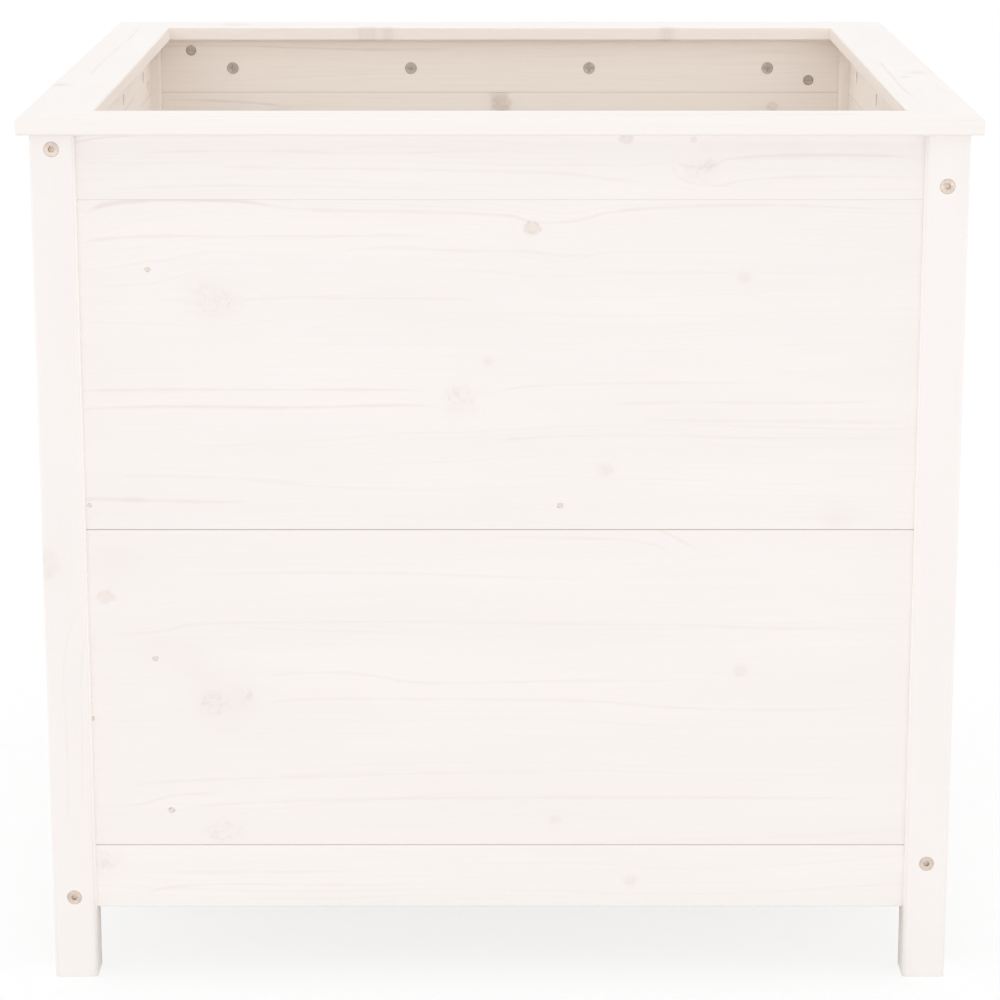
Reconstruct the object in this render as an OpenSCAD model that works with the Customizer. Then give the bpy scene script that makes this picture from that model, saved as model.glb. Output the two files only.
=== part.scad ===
// Square planter of boards and corner posts with a flat mitred rim.
// Units are millimetres, +Z is up, the front faces -Y.
// The origin is the middle of the footprint, on the ground.
// Everything is laid out on the front side and turned about Z by quarter turns.

/* [Overall] */
// Width and depth over the rim
planter_w = 825; // [720:5:1100]
// Height from the ground to the top of the rim
planter_h = 780; // [700:5:1000]
// Height of the walls' lower edge above the ground
ground_clear = 63; // [20:1:110]

/* [Posts] */
// Side of the square posts
post_w = 38; // [36:1:60]
// Radius of the posts' long edges
post_edge_r = 3; // [1:0.5:5]

/* [Rim] */
// Width of the rim boards
rim_w = 60; // [50:1:90]
// Thickness of the rim boards
rim_t = 14; // [12:1:24]
// How far the rim reaches past the posts' outer faces
rim_overhang = 10; // [2:1:20]
// Radius of the rim boards' long edges
rim_edge_r = 2; // [1:0.5:4]

/* [Walls] */
// Thickness of the wall boards
board_t = 16; // [14:1:22]
// Height of the top rail, without tongue
top_rail_h = 58; // [56:1:90]
// Height of the lower panel; the upper panel fills the rest
lower_panel_h = 293; // [220:1:340]
// Height of the bottom rail, without tongue
bottom_rail_h = 59; // [56:1:90]
// Thickness of the tongue on a board's upper edge
tongue_t = 5; // [4:0.5:6]
// Height of the tongue
tongue_l = 6; // [3:0.5:6]
// Clearance beside the tongue in its groove
tongue_side_clear = 0.2; // [0.1:0.05:0.5]
// Clearance past the tongue in its groove
tongue_end_clear = 0.5; // [0.2:0.1:1]
// Bevel along the boards' edges, which shows as a line at each joint
joint_bevel = 0.8; // [0.4:0.1:2]
// Bevel at the tight joint under the top rail
tight_bevel = 0.3; // [0.2:0.1:1]

/* [Corner bolts] */
// Distance of the outer bolt row from the walls' upper and lower edge
bolt_edge = 13; // [10:1:16]
// Height between the outer and the inner bolt row
bolt_stagger = 32; // [24:1:32]
// Diameter of the bolts
bolt_d = 6; // [5:0.5:7]
// Clearance around a bolt in the wood, on the radius
bolt_clear = 0.3; // [0.1:0.1:0.6]
// Diameter of the flat bolt head
bolt_head_d = 13; // [11:0.5:16]
// Thickness of the bolt head
bolt_head_h = 2.3; // [1.5:0.1:4]
// Bevel around the bolt head's face
bolt_head_bevel = 0.2; // [0.2:0.1:1]
// How far the bolt head lies below the post's face
bolt_head_sink = 0.2; // [0.2:0.1:3]
// Clearance around the bolt head, on the radius
bolt_head_clear = 0.1; // [0.1:0.05:1]
// Diameter of the plain neck under the bolt head
bolt_neck_d = 8; // [7:0.5:10]
// Length of the plain neck
bolt_neck_l = 4; // [2:0.5:8]
// Hexagon socket of the bolt, across its flats
bolt_socket_af = 5; // [3:0.5:5]
// Depth of the hexagon socket
bolt_socket_depth = 3.2; // [2:0.1:5]
// How far the bolt runs past the barrel nut's axis
bolt_past_nut = 8; // [6:0.5:14]

/* [Barrel nuts] */
// Distance of the barrel nut's axis from the rail's end
barrel_inset = 32; // [24:1:40]
// Diameter of the barrel nut
barrel_d = 10; // [9:0.5:12]
// Length of the barrel nut
barrel_l = 12; // [9:0.5:12]
// Clearance around the barrel nut, on the radius
barrel_clear = 0.5; // [0.2:0.1:0.8]
// Clearance of the bolt in the barrel nut, on the radius
thread_clear = 0.1; // [0.05:0.05:0.2]

/* [Rim fittings] */
// Distance of the cams' axis below the walls' upper edge
cam_inset = 32; // [26:1:34]
// Distance from one cam to the next along a rail
cam_pitch = 192; // [128:32:256]
// Least distance of a cam from the rail's end
cam_end_min = 70; // [60:1:100]
// Diameter of the cam
cam_d = 12; // [12:0.5:15]
// Height of the cam
cam_h = 11.2; // [9:0.1:11.4]
// Depth of the cam's seat beyond the pin's axis
cam_below_pin = 4.5; // [4.3:0.1:5]
// Clearance around the cam, on the radius
cam_clear = 0.3; // [0.1:0.1:0.5]
// Diameter of the pin's guided shank
pin_d = 7; // [6:0.5:8]
// Diameter of the pin's neck
pin_neck_d = 4; // [3:0.5:5]
// Diameter of the pin's head
pin_head_d = 6.4; // [5.6:0.2:6.8]
// Height of the pin's head
pin_head_h = 3; // [2:0.5:3.5]
// Diameter of the pin's thread in the rim board
pin_thread_d = 5; // [4:0.5:6]
// Length of the pin's thread in the rim board
pin_thread_l = 9; // [6:0.5:9]
// Clearance around a pin, on the radius
pin_clear = 0.2; // [0.1:0.1:0.4]

/* [Dowels] */
// Diameter of the dowels between boards and posts
dowel_d = 8; // [6:0.5:8]
// Length of such a dowel in the post
dowel_in_post = 12; // [8:0.5:12]
// Length of such a dowel in the board's end
dowel_in_board = 18; // [12:1:24]
// Distance of a panel's dowels from the panel's upper and lower edge
dowel_edge = 48; // [30:1:60]
// Diameter of the dowels across the rim's mitres
mitre_dowel_d = 6; // [5:0.5:6]
// Length of a mitre dowel on each side of the joint
mitre_dowel_l = 15; // [8:1:16]
// Distance of the mitre dowels from the rim's inner and outer edge
mitre_dowel_inset = 18; // [16:1:20]
// Clearance around a dowel, on the radius
dowel_clear = 0.1; // [0.05:0.05:0.2]
// Clearance past a dowel's end
dowel_end_clear = 0.5; // [0.2:0.1:1]

/* [Floor] */
// Number of floor boards
floor_count = 7; // [5:1:9]
// Thickness of the floor boards
floor_t = 16; // [12:1:24]
// Drainage gap between floor boards
floor_gap = 11; // [5:1:20]
// Clearance of the floor from the posts, front and back
floor_post_clear = 2.5; // [1:0.5:8]
// Clearance of the floor boards' ends from the side walls
floor_end_clear = 3; // [1:0.5:6]
// Width of the battens that carry the floor boards' ends
batten_w = 22; // [18:1:40]
// Height of the battens and of the bearer
batten_h = 28; // [20:1:40]
// Clearance of a batten's end from the barrel nut's hole
batten_end_clear = 5; // [2:1:20]
// Width of the bearer under the floor's middle
bearer_w = 34; // [28:1:60]
// Clearance of the bearer's ends from the walls
bearer_end_clear = 0.5; // [0.3:0.1:3]
// Height of the cleats under the bearer's ends
cleat_h = 14; // [12:1:24]
// Depth of a cleat, out from the wall
cleat_w = 22; // [18:1:40]
// Length of a cleat along the wall
cleat_l = 80; // [60:1:140]
// Height of the cleats above the walls' lower edge
cleat_lift = 3; // [2:1:6]

/* [Wood screws] */
// Diameter of the wood screws
screw_d = 4; // [3:0.5:5]
// Diameter of the countersunk head
screw_head_d = 8; // [6:0.5:9]
// Height of the countersunk head
screw_head_h = 2.4; // [1.5:0.1:4]
// Length of the screw's point
screw_tip = 4; // [2:0.5:6]
// Clearance around a screw, on the radius
screw_clear = 0.1; // [0.05:0.05:0.3]
// How far a screw reaches into a bottom rail
rail_bite = 10; // [6:0.5:12]
// How far a screw reaches into a batten or the bearer
batten_bite = 22; // [14:1:26]
// Spacing of the two screws in a cleat
cleat_screw_pitch = 48; // [30:2:56]
// Least distance of a floor screw from the batten's end
floor_screw_end = 22; // [12:1:40]

/* [Hidden] */
$fn = 48;
// Extra length by which a cut runs past a face
cut = 1;

// Distances from the planter's axis, going in
rim_half = planter_w / 2;
rim_inner = rim_half - rim_w;
post_out = rim_half - rim_overhang;
post_mid = post_out - post_w / 2;
post_in = post_out - post_w;
wall_in = post_mid - board_t / 2;

// Heights above the ground, going up
wall_bottom = ground_clear;
bottom_rail_top = wall_bottom + bottom_rail_h;
panel_joint = bottom_rail_top + lower_panel_h;
wall_top = planter_h - rim_t;
top_rail_bottom = wall_top - top_rail_h;
floor_bottom = wall_bottom + cleat_lift + cleat_h + batten_h;

// Bolt rows. The two rows cross inside a post without meeting: the bolts in the
// left post of a side lie in the outer row and those in its right post in the inner.
outer_row = [wall_bottom + bolt_edge, wall_top - bolt_edge];
inner_row = [outer_row[0] + bolt_stagger, outer_row[1] - bolt_stagger];
bolt_seat = bolt_head_sink + bolt_head_h;
bolt_l = post_w - bolt_seat + barrel_inset + bolt_past_nut;
barrel_x = post_in - barrel_inset;
barrel_hole_d = barrel_d + 2 * barrel_clear;

// Dowel heights in a wall. In the rails they take the row that the bolts leave free.
panel_dowels = [
    bottom_rail_top + dowel_edge, panel_joint - dowel_edge,
    panel_joint + dowel_edge, top_rail_bottom - dowel_edge
];
left_dowels = concat(outer_row, panel_dowels);
right_dowels = concat(inner_row, panel_dowels);

// Cams along a rail, symmetric about its middle
cam_z = wall_top - cam_inset;
cam_count = floor((2 * post_in - 2 * cam_end_min) / cam_pitch) + 1;
cam_x = [for (i = [0 : cam_count - 1]) (i - (cam_count - 1) / 2) * cam_pitch];
cam_hole_depth = board_t / 2 + cam_below_pin;
pin_hole_d = pin_d + 2 * pin_clear;
pin_thread_hole_d = pin_thread_d + 2 * thread_clear;
pin_head_z = cam_z - pin_head_h / 3;
pin_shank_z = cam_z + cam_d / 2 + cam_clear;

// Floor boards, battens, bearer and cleats
floor_half = post_in - floor_post_clear;
floor_board_w = (2 * floor_half - (floor_count - 1) * floor_gap) / floor_count;
floor_board_l = 2 * (wall_in - floor_end_clear);
batten_half = barrel_x - barrel_hole_d / 2 - batten_end_clear;
batten_mid = wall_in - batten_w / 2;
// A batten's screws stand at the gaps between the floor boards, clear of the floor's screws
batten_screw_x = [
    for (n = [1 : floor_count - 1]) (n - floor_count / 2) * (floor_board_w + floor_gap)
];
cleat_z = wall_bottom + cleat_lift;

SIDES = ["front", "right", "back", "left"];
CORNERS = ["front_left", "front_right", "back_right", "back_left"];

// Places a piece of the front side, or of the front left corner, on side or corner i
module turned(i) {
    rotate([0, 0, 90 * i]) children();
}

// Turns a piece made along +Z so that it runs along +X
module along_x() {
    rotate([0, 90, 0]) children();
}

// Turns a piece made along +Z so that it runs along +Y, into the planter from the front
module along_y() {
    rotate([-90, 0, 0]) children();
}

// Rectangle with rounded corners, centred
module rounded_rectangle(size_x, size_y, radius) {
    square([size_x - 2 * radius, size_y], center = true);
    square([size_x, size_y - 2 * radius], center = true);
    for (x = [-1, 1], y = [-1, 1])
        translate([x * (size_x / 2 - radius), y * (size_y / 2 - radius)]) circle(r = radius);
}

// Cross-section of a wall board as [distance from its middle plane, height]
function board_outline(z_low, z_high, low_bevel, high_bevel, grooved, tongued) =
    let (
        face = board_t / 2,
        groove = tongue_t / 2 + tongue_side_clear,
        groove_top = z_low + tongue_l + tongue_end_clear,
        tongue = tongue_t / 2
    )
    concat(
        [[-face, z_low + low_bevel], [-face + low_bevel, z_low]],
        grooved ? [[-groove, z_low], [-groove, groove_top], [groove, groove_top], [groove, z_low]] : [],
        [[face - low_bevel, z_low], [face, z_low + low_bevel]],
        [[face, z_high - high_bevel], [face - high_bevel, z_high]],
        tongued ? [[tongue, z_high], [tongue, z_high + tongue_l],
                   [-tongue, z_high + tongue_l], [-tongue, z_high]] : [],
        [[-face + high_bevel, z_high], [-face, z_high - high_bevel]]
    );

// Board of the front wall with that cross-section, between the two posts
module wall_board(outline) {
    translate([0, -post_mid, 0]) rotate([90, 0, 90])
        linear_extrude(2 * post_in, center = true) polygon(outline);
}

// Dowel holes in both ends of the front wall's boards, at the given heights
module board_dowel_holes(left, right) {
    hole_l = dowel_in_board + dowel_end_clear;
    for (z = left) translate([-post_in - cut, -post_mid, z]) along_x() dowel_hole(hole_l + cut);
    for (z = right) translate([post_in - hole_l, -post_mid, z]) along_x() dowel_hole(hole_l + cut);
}

module dowel_hole(length) {
    cylinder(d = dowel_d + 2 * dowel_clear, h = length);
}

// Bolt hole in a rail's end and the barrel nut's hole that crosses it.
// side is -1 for the left end and 1 for the right end of the front wall.
module rail_bolt_holes(side, z) {
    hole_l = barrel_inset + bolt_past_nut + cut;
    translate([side * (post_in + cut), -post_mid, z]) rotate([0, -90 * side, 0])
        cylinder(d = bolt_d + 2 * bolt_clear, h = hole_l + cut);
    translate([side * barrel_x, -post_mid - barrel_l / 2, z]) along_y()
        cylinder(d = barrel_hole_d, h = barrel_l / 2 + board_t / 2 + cut);
}

// Seat of a cam in the top rail's inner face and the hole of its pin
module cam_holes(x) {
    translate([x, -wall_in - cam_hole_depth, cam_z]) along_y()
        cylinder(d = cam_d + 2 * cam_clear, h = cam_hole_depth + cut);
    translate([x, -post_mid, cam_z]) cylinder(d = pin_hole_d, h = cam_inset + cut);
}

module top_rail() {
    color("#f6f1ec") difference() {
        wall_board(board_outline(top_rail_bottom, wall_top, tight_bevel, tight_bevel, true, false));
        rail_bolt_holes(-1, inner_row[1]);
        rail_bolt_holes(1, outer_row[1]);
        board_dowel_holes([outer_row[1]], [inner_row[1]]);
        for (x = cam_x) cam_holes(x);
    }
}

module upper_panel() {
    heights = [panel_dowels[2], panel_dowels[3]];
    color("#f8f3ee") difference() {
        wall_board(board_outline(panel_joint, top_rail_bottom, joint_bevel, tight_bevel, true, true));
        board_dowel_holes(heights, heights);
    }
}

module lower_panel() {
    heights = [panel_dowels[0], panel_dowels[1]];
    color("#f8f3ee") difference() {
        wall_board(board_outline(bottom_rail_top, panel_joint, joint_bevel, joint_bevel, true, true));
        board_dowel_holes(heights, heights);
    }
}

module bottom_rail(i) {
    color("#f6f1ec") difference() {
        wall_board(board_outline(wall_bottom, bottom_rail_top, joint_bevel, joint_bevel, false, true));
        rail_bolt_holes(-1, inner_row[0]);
        rail_bolt_holes(1, outer_row[0]);
        board_dowel_holes([outer_row[0]], [inner_row[0]]);
        if (has_batten(i))
            for (x = batten_screw_x) batten_screw_at(x) screw_hole(batten_w + rail_bite);
        else
            for (x = [-1, 1]) cleat_screw_at(x) screw_hole(cleat_w + rail_bite);
    }
}

// The battens are on the right and left walls, the cleats on the front and back walls
function has_batten(i) = i % 2 == 1;

// Stepped hole of a corner bolt through a post, made along +Z from the post's face
module post_bolt_hole() {
    translate([0, 0, -cut]) {
        cylinder(d = bolt_head_d + 2 * bolt_head_clear, h = bolt_seat + cut);
        cylinder(d = bolt_neck_d + 2 * bolt_clear, h = bolt_seat + bolt_neck_l + bolt_clear + cut);
        cylinder(d = bolt_d + 2 * bolt_clear, h = post_w + 2 * cut);
    }
}

// The front left post. Seen from outside, it is the left post of the front side and
// the right post of the left side.
module post() {
    hole_l = dowel_in_post + dowel_end_clear;
    color("#f7f4f0") difference() {
        translate([-post_mid, -post_mid, 0]) linear_extrude(wall_top)
            rounded_rectangle(post_w, post_w, post_edge_r);
        for (z = outer_row) translate([-post_mid, -post_out, z]) along_y() post_bolt_hole();
        for (z = inner_row) translate([-post_out, -post_mid, z]) along_x() post_bolt_hole();
        for (z = left_dowels)
            translate([-post_in - hole_l, -post_mid, z]) along_x() dowel_hole(hole_l + cut);
        for (z = right_dowels)
            translate([-post_mid, -post_in - hole_l, z]) along_y() dowel_hole(hole_l + cut);
    }
}

// Rim board of the front side, cut at 45 degrees at both ends
module rim_board() {
    color("#faf7f3") difference() {
        intersection() {
            translate([0, -rim_half + rim_w / 2, planter_h - rim_t / 2]) rotate([90, 0, 90])
                linear_extrude(planter_w, center = true) rounded_rectangle(rim_w, rim_t, rim_edge_r);
            translate([0, 0, wall_top - cut]) linear_extrude(rim_t + 2 * cut)
                polygon([[-rim_half, -rim_half], [rim_half, -rim_half],
                         [rim_inner, -rim_inner], [-rim_inner, -rim_inner]]);
        }
        for (x = cam_x) translate([x, -post_mid, wall_top - cut])
            cylinder(d = pin_thread_hole_d, h = pin_thread_l + cut);
        for (i = [0, 1]) turned(i) mitre_dowel_places()
            cylinder(d = mitre_dowel_d + 2 * dowel_clear,
                     h = 2 * (mitre_dowel_l + dowel_end_clear), center = true);
    }
}

// The two dowel places across the mitre at the front left corner of the rim
module mitre_dowel_places() {
    for (p = [rim_inner + mitre_dowel_inset, rim_half - mitre_dowel_inset])
        translate([-p, -p, planter_h - rim_t / 2]) rotate([0, 90, -45]) children();
}

// Bolt made along +Z, with the face of its head at the origin
module corner_bolt() {
    difference() {
        union() {
            cylinder(d1 = bolt_head_d - 2 * bolt_head_bevel, d2 = bolt_head_d, h = bolt_head_bevel);
            translate([0, 0, bolt_head_bevel]) cylinder(d = bolt_head_d, h = bolt_head_h - bolt_head_bevel);
            cylinder(d = bolt_neck_d, h = bolt_head_h + bolt_neck_l);
            cylinder(d = bolt_d, h = bolt_head_h + bolt_l);
        }
        translate([0, 0, -cut])
            cylinder(d = bolt_socket_af / cos(30), h = bolt_socket_depth + cut, $fn = 6);
    }
}

module corner_bolts() {
    color("#d9cdbf") for (i = [0 : 3]) turned(i) {
        for (z = outer_row) translate([-post_mid, -post_out + bolt_head_sink, z]) along_y() corner_bolt();
        for (z = inner_row) translate([post_mid, -post_out + bolt_head_sink, z]) along_y() corner_bolt();
    }
}

// Barrel nut made along +Z, centred, with a screwdriver slot in its upper end
module barrel_nut() {
    slot_w = barrel_d / 8;
    difference() {
        cylinder(d = barrel_d, h = barrel_l, center = true);
        rotate([0, 90, 0]) cylinder(d = bolt_d + 2 * thread_clear, h = barrel_d + 2 * cut, center = true);
        translate([0, 0, barrel_l / 2]) cube([barrel_d + cut, slot_w, 2 * slot_w], center = true);
    }
}

module barrel_nuts() {
    color("#9a9087") for (i = [0 : 3]) turned(i) {
        for (z = inner_row) translate([-barrel_x, -post_mid, z]) along_y() barrel_nut();
        for (z = outer_row) translate([barrel_x, -post_mid, z]) along_y() barrel_nut();
    }
}

// Cam made along +Z from the floor of its seat. The pin comes in from -Y: its head sits
// in the pocket and its neck in the slot, which opens a quarter turn away.
module rim_cam() {
    slot_w = pin_neck_d + 2 * pin_clear;
    pocket_h = pin_head_d + 2 * pin_clear;
    pocket_d = pin_head_d + 8 * pin_clear;
    recess_l = cam_d * 0.6;
    recess_w = cam_d / 8;
    recess_depth = 2;
    difference() {
        cylinder(d = cam_d, h = cam_h);
        translate([0, 0, cam_below_pin]) {
            cylinder(d = pocket_d, h = pocket_h, center = true);
            rotate([0, 0, -90]) rotate_extrude(angle = 90)
                translate([0, -slot_w / 2]) square([cam_d, slot_w]);
            translate([0, -cam_d / 2, 0]) cube([slot_w, cam_d, slot_w], center = true);
            along_x() cylinder(d = pocket_h, h = cam_d);
        }
        translate([0, 0, cam_h]) {
            cube([recess_l, recess_w, 2 * recess_depth], center = true);
            cube([recess_w, recess_l, 2 * recess_depth], center = true);
        }
    }
}

module rim_cams() {
    color("#8f857b") for (i = [0 : 3], x = cam_x) turned(i)
        translate([x, -wall_in - cam_hole_depth, cam_z]) along_y() rim_cam();
}

// Pin that hangs from the rim board down to its cam
module rim_pin() {
    translate([0, 0, pin_head_z]) cylinder(d = pin_head_d, h = pin_head_h);
    translate([0, 0, pin_head_z]) cylinder(d = pin_neck_d, h = pin_shank_z - pin_head_z + cut);
    translate([0, 0, pin_shank_z]) cylinder(d = pin_d, h = wall_top - pin_shank_z);
    translate([0, 0, wall_top - cut]) cylinder(d = pin_thread_d, h = pin_thread_l + cut);
}

module rim_pins() {
    color("#b9b1a6") for (i = [0 : 3], x = cam_x) turned(i) translate([x, -post_mid, 0]) rim_pin();
}

module wall_dowels() {
    length = dowel_in_post + dowel_in_board;
    color("#e2c79f") for (i = [0 : 3]) turned(i) {
        for (z = left_dowels)
            translate([-post_in - dowel_in_post, -post_mid, z]) along_x() cylinder(d = dowel_d, h = length);
        for (z = right_dowels)
            translate([post_in - dowel_in_board, -post_mid, z]) along_x() cylinder(d = dowel_d, h = length);
    }
}

module mitre_dowels() {
    color("#e2c79f") for (i = [0 : 3]) turned(i) mitre_dowel_places()
        cylinder(d = mitre_dowel_d, h = 2 * mitre_dowel_l, center = true);
}

// Wood screw made along -Z, with the face of its head at the origin
module wood_screw(length) {
    recess_l = screw_head_d / 2;
    recess_w = screw_head_d / 8;
    difference() {
        union() {
            translate([0, 0, -screw_head_h]) cylinder(d1 = screw_d, d2 = screw_head_d, h = screw_head_h);
            translate([0, 0, screw_tip - length]) cylinder(d = screw_d, h = length - screw_tip - screw_head_h);
            translate([0, 0, -length]) cylinder(d1 = screw_d / 8, d2 = screw_d, h = screw_tip);
        }
        cube([recess_l, recess_w, screw_head_h], center = true);
        cube([recess_w, recess_l, screw_head_h], center = true);
    }
}

// Hole of a wood screw made along -Z, with its countersink at the origin
module screw_hole(length) {
    head_d = screw_head_d + 2 * screw_clear;
    body_d = screw_d + 2 * screw_clear;
    translate([0, 0, -screw_head_h]) cylinder(d1 = body_d, d2 = head_d, h = screw_head_h);
    cylinder(d = head_d, h = cut);
    translate([0, 0, -length]) cylinder(d = body_d, h = length);
}

// Places of the level screws through a batten or a cleat into the wall behind it,
// for screws made along -Z
module batten_screw_at(x) {
    translate([x, -wall_in + batten_w, floor_bottom - batten_h / 2]) rotate([-90, 0, 0]) children();
}

module cleat_screw_at(side) {
    translate([side * cleat_screw_pitch / 2, -wall_in + cleat_w, cleat_z + cleat_h / 2])
        rotate([-90, 0, 0]) children();
}

// Distance of floor board n from the planter's axis, towards the back
function floor_board_y(n) = -floor_half + floor_board_w / 2 + (n - 1) * (floor_board_w + floor_gap);

// A floor board's screws stand at its middle, or nearer where the battens end
function floor_screw_y(n) =
    let (y = floor_board_y(n))
    sign(y) * min(abs(y), batten_half - floor_screw_end);

module floor_screw_places(n) {
    for (x = [-batten_mid + floor_end_clear / 2, 0, batten_mid - floor_end_clear / 2])
        translate([x, floor_screw_y(n), floor_bottom + floor_t]) children();
}

module floor_board(n) {
    color("#ead9bf") difference() {
        translate([0, floor_board_y(n), floor_bottom + floor_t / 2])
            cube([floor_board_l, floor_board_w, floor_t], center = true);
        floor_screw_places(n) screw_hole(floor_t + batten_bite);
    }
}

// Batten on the inner face of a wall's bottom rail, laid out on the front side and
// turned to side i
module floor_batten(i) {
    color("#e6d2b3") difference() {
        turned(i) translate([0, -batten_mid, floor_bottom - batten_h / 2])
            cube([2 * batten_half, batten_w, batten_h], center = true);
        turned(i) for (x = batten_screw_x) batten_screw_at(x) screw_hole(batten_w + rail_bite);
        for (n = [1 : floor_count]) floor_screw_places(n) screw_hole(floor_t + batten_bite);
    }
}

module floor_bearer() {
    length = 2 * (wall_in - bearer_end_clear);
    color("#e6d2b3") difference() {
        translate([0, 0, floor_bottom - batten_h / 2]) cube([bearer_w, length, batten_h], center = true);
        for (n = [1 : floor_count]) floor_screw_places(n) screw_hole(floor_t + batten_bite);
    }
}

module bearer_cleat() {
    color("#e6d2b3") difference() {
        translate([0, -wall_in + cleat_w / 2, cleat_z + cleat_h / 2])
            cube([cleat_l, cleat_w, cleat_h], center = true);
        for (side = [-1, 1]) cleat_screw_at(side) screw_hole(cleat_w + rail_bite);
    }
}

module batten_screws() {
    color("#c9c3b8") for (i = [1, 3], x = batten_screw_x)
        turned(i) batten_screw_at(x) wood_screw(batten_w + rail_bite);
}

module cleat_screws() {
    color("#c9c3b8") for (i = [0, 2], side = [-1, 1])
        turned(i) cleat_screw_at(side) wood_screw(cleat_w + rail_bite);
}

module floor_screws() {
    color("#c9c3b8") for (n = [1 : floor_count])
        floor_screw_places(n) wood_screw(floor_t + batten_bite);
}

for (i = [0 : 3]) {
    turned(i) post();
    turned(i) top_rail();
    turned(i) upper_panel();
    turned(i) lower_panel();
    turned(i) bottom_rail(i);
    turned(i) rim_board();
}
for (n = [1 : floor_count])
    floor_board(n);
floor_batten(3);  // floor_batten_left
floor_batten(1);  // floor_batten_right
floor_bearer();
bearer_cleat();  // bearer_cleat_front
turned(2) bearer_cleat();  // bearer_cleat_back
corner_bolts();
barrel_nuts();
rim_cams();
rim_pins();
wall_dowels();
mitre_dowels();
batten_screws();
cleat_screws();
floor_screws();
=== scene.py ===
"""Looks of a square planter: white-washed pine boards, nickel bolts and zinc fittings.

Lengths are in metres in the frame of the model, +Z up and the front towards -Y.
Grain, knots and streaks are placed in millimetres, along and across a board's grain.
"""

import math
import random
from collections import namedtuple

import bpy
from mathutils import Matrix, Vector


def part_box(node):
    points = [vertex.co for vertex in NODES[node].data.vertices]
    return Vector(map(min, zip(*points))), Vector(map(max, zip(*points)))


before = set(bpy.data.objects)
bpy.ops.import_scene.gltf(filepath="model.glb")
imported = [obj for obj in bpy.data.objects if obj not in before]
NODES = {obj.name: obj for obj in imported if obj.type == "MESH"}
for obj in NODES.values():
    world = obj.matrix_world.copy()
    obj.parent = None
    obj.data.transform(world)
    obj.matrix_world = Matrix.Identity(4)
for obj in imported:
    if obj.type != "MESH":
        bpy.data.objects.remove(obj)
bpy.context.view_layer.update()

MM = 0.001
PER_MM = 1000.0
WHITE = (1, 1, 1, 1)

# Camera: in front of the planter and above its rim, looking down at it
CAMERA_AWAY = 3.3
CAMERA_HEIGHT = 1.151
CAMERA_PITCH = math.radians(13.7)
LENS_MM = 122.6
SENSOR_MM = 36.0

# Light: an even pale dome, two low soft lamps in front and one on each side. The strengths are
# shares of the light under which a white surface renders white. A lamp's turn goes from the
# front to the right and its height goes up from level; these and its softness are in degrees
DOME_STRENGTH = 0.92
Lamp = namedtuple("Lamp", "strength turn height softness")
LAMPS = {
    "front_left_lamp": Lamp(0.062, -10, 8, 16),
    "front_right_lamp": Lamp(0.062, 10, 8, 16),
    "left_lamp": Lamp(0.115, -90, 20, 30),
    "right_lamp": Lamp(0.115, 90, 20, 30),
}
# The floor lies a little under the feet. Its bounce is how much light it throws back at the
# planter, and the shadow's share is how much of its real shade is seen on it
FLOOR_SIZE = 16.0
FLOOR_DROP = 0.4 * MM
FLOOR_BOUNCE = 0.93
SHADOW_SHARE = 0.2


def srgb(red, green, blue):
    """Linear RGBA of a colour given as three values from 0 to 255."""
    def linear(level):
        share = level / 255
        return share / 12.92 if share <= 0.04045 else ((share + 0.055) / 1.055) ** 2.4
    return (linear(red), linear(green), linear(blue), 1.0)


# A pine finish: its ground between two near colours, its colour on inner faces, what marks it,
# and how strongly late wood and fibre show. Where it is brighter and warmer than the ground, the
# inner faces' colour is painted light that stands in for the light bounced round inside the planter
Finish = namedtuple(
    "Finish", "ground patch inside late fibre streak halo knot dark crack late_share fibre_share")
PAINTED = Finish(
    ground=srgb(244, 239, 236), patch=srgb(242, 237, 234), inside=srgb(255, 247, 240),
    late=srgb(230, 221, 216), fibre=srgb(238, 231, 226), streak=srgb(234, 225, 221),
    halo=srgb(239, 231, 227), knot=srgb(226, 214, 203), dark=srgb(185, 171, 157),
    crack=srgb(157, 141, 125), late_share=0.26, fibre_share=0.30,
)
# The bottom rails are a little lighter: partly their own tone, partly painted light that offsets
# the shade near the floor
LOW_RAIL_PAINT_AND_LIGHT = PAINTED._replace(ground=srgb(246, 241, 238), patch=srgb(244, 239, 236))
POST_PAINT = PAINTED._replace(late_share=0.07, fibre_share=0.09)
# The rim's ground is lighter than the walls': partly its own paint, partly painted light on its
# top, which gets less light than the fronts. Its inner edge's colour is painted bounce light
RIM_PAINT_AND_LIGHT = PAINTED._replace(
    ground=srgb(250, 246, 243), patch=srgb(249, 244, 241), inside=srgb(250, 242, 235),
    late_share=0.18,
)
# Painted shade: the rim's outer edge is darker than its top, offsetting the stronger light the
# front lamps throw on it
RIM_EDGE_PAINTED_SHADE = srgb(244, 239, 235)
# Painted light: lighter colour on the posts' inner faces, which offsets the shade where they meet
# the walls and on the legs
POST_SIDE_PAINTED_LIGHT = srgb(255, 250, 247)
# Painted light: lighter colour at the top of the top rails, offsetting the shade under the rim
UNDER_RIM_PAINTED_LIGHT = srgb(251, 246, 243)
THIN_WASH = Finish(
    ground=srgb(248, 240, 229), patch=srgb(244, 233, 219), inside=srgb(248, 240, 229),
    late=srgb(216, 194, 168), fibre=srgb(230, 214, 194), streak=srgb(200, 174, 146),
    halo=srgb(228, 208, 184), knot=srgb(190, 156, 124), dark=srgb(132, 100, 76),
    crack=srgb(110, 84, 60), late_share=0.55, fibre_share=0.45,
)

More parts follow.
